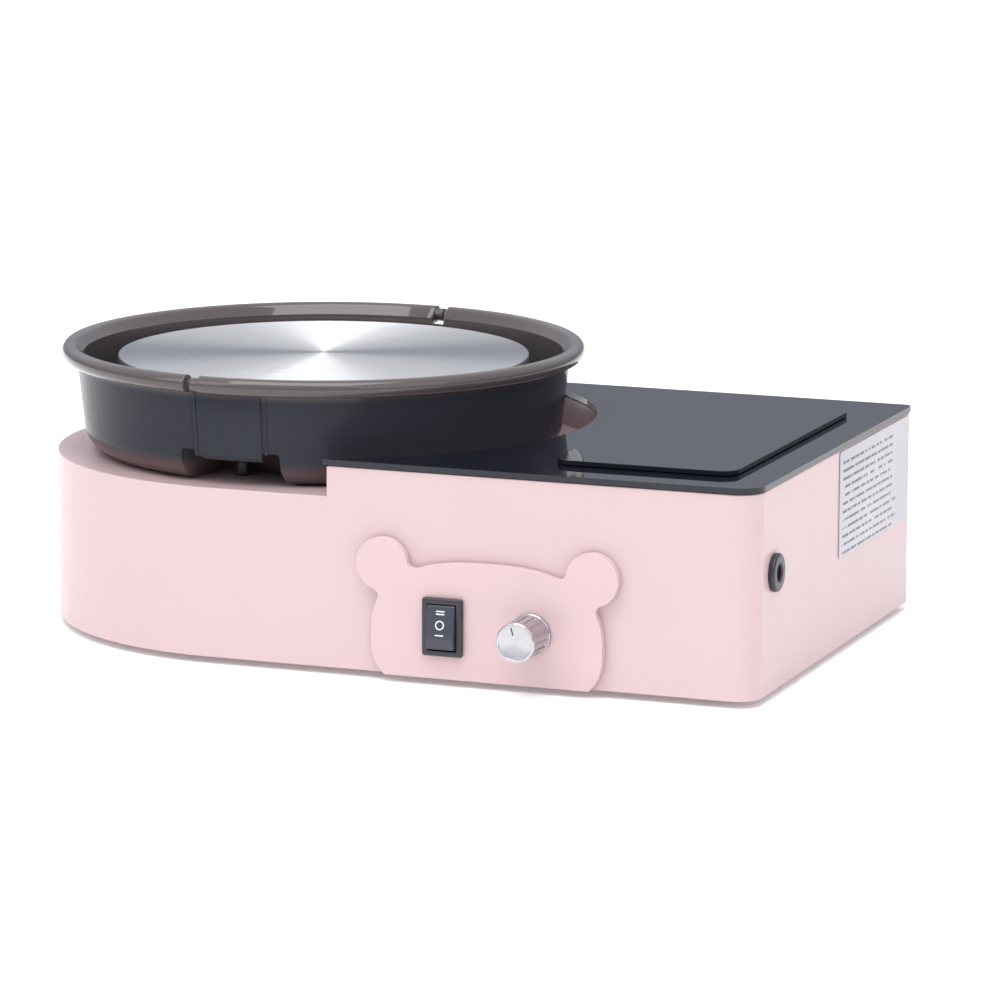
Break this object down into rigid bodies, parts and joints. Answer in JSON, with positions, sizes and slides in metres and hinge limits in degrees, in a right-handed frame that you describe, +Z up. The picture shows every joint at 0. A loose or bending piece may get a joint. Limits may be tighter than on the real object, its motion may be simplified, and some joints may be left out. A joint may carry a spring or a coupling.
{
  "type": "tabletop pottery wheel",
  "caption": "Tabletop pottery wheel: turned metal wheel head in a split splash pan, pink D-shaped housing with a glossy black work top, rocker switch and speed knob.",
  "frame": {"origin": "middle of the object's footprint, on the surface that its feet stand on", "axes": "+Z up, +X along the front from the round pan end to the raised block, the control panel faces -Y"},
  "size_m": [0.3004, 0.2098, 0.1042],
  "materials": {
    "pink_abs": "glossy pale pink moulded shell",
    "pink_acrylic": "glossy pink cut sheet, slightly stronger than the shell",
    "black_acrylic": "mirror-gloss black cut sheet",
    "smoky_plastic": "glossy smoke-grey translucent moulding",
    "turned_aluminium": "fine concentric turning marks",
    "cast_aluminium": "plain machined casting",
    "steel": "plated",
    "black_plastic": "satin black moulding",
    "rubber": "matt black",
    "board_green": "green lacquered circuit board",
    "lead_red": "red insulated lead",
    "label_white": "blank white label"
  },
  "bodies": {
    "frame": {"housing": "pink_abs", "control_panel": "pink_acrylic", "top_plate": "black_acrylic", "tool_platform": "black_acrylic", "power_switch": "black_plastic", "potentiometer": "black_plastic", "potentiometer_nut": "steel", "power_inlet": "black_plastic", "inlet_nut": "steel", "rating_label": "label_white", "base_plate": "pink_abs", "bearing_cartridge": "cast_aluminium", "upper_bearing": "steel", "lower_bearing": "steel", "pan_peg_front": "black_plastic", "pan_peg_back": "black_plastic", "drive_belt": "rubber", "motor": "steel", "motor_bracket": "steel", "motor_screw_1": "steel", "motor_screw_2": "steel", "controller_board": "board_green", "lead_inlet": "lead_red", "lead_switch": "lead_red", "lead_speed": "lead_red", "lead_motor": "lead_red", "base_screw_1": "steel", "base_screw_2": "steel", "base_screw_3": "steel", "base_screw_4": "steel", "base_screw_5": "steel", "foot_left_front": "rubber", "foot_left_back": "rubber", "foot_right_front": "rubber", "foot_right_back": "rubber"},
    "wheel": {"wheel_head": "turned_aluminium", "wheel_hub": "cast_aluminium", "hub_screw_1": "steel", "hub_screw_2": "steel", "hub_screw_3": "steel", "spindle": "steel", "driven_pulley": "black_plastic"},
    "motor_rotor": {"motor_shaft": "steel", "motor_pulley": "cast_aluminium"},
    "knob": {"speed_knob": "turned_aluminium", "potentiometer_shaft": "steel"},
    "rocker": {"switch_rocker": "black_plastic"},
    "pan_left": {"pan_half_left": "smoky_plastic"},
    "pan_right": {"pan_half_right": "smoky_plastic"}
  },
  "joints": [
    {"name": "wheel_spin", "type": "hinge", "parent": "frame", "child": "wheel", "pos_m": [-0.05115, 0.0081, 0.0525], "axis": [0, 0, 1], "continuous": true},
    {"name": "motor_spin", "type": "hinge", "parent": "frame", "child": "motor_rotor", "pos_m": [0.07485, 0.0081, 0.0145], "axis": [0, 0, 1], "continuous": true},
    {"name": "speed_turn", "type": "hinge", "parent": "frame", "child": "knob", "pos_m": [0.06715, -0.0969, 0.0214], "axis": [0, 1, 0], "range_deg": [-130, 150]},
    {"name": "switch_rock", "type": "hinge", "parent": "frame", "child": "rocker", "pos_m": [0.03435, -0.0897, 0.0214], "axis": [1, 0, 0], "range_deg": [0, 18]},
    {"name": "pan_left_slide", "type": "slide", "parent": "frame", "child": "pan_left", "axis": [-0.9932, 0.1167, 0], "range_m": [0, 0.025]},
    {"name": "pan_right_lift", "type": "slide", "parent": "frame", "child": "pan_right", "axis": [0, 0, 1], "range_m": [0, 0.0135]}
  ],
  "couplings": [
    {"joint": "motor_spin", "follows": "wheel_spin", "ratio": 6}
  ]
}
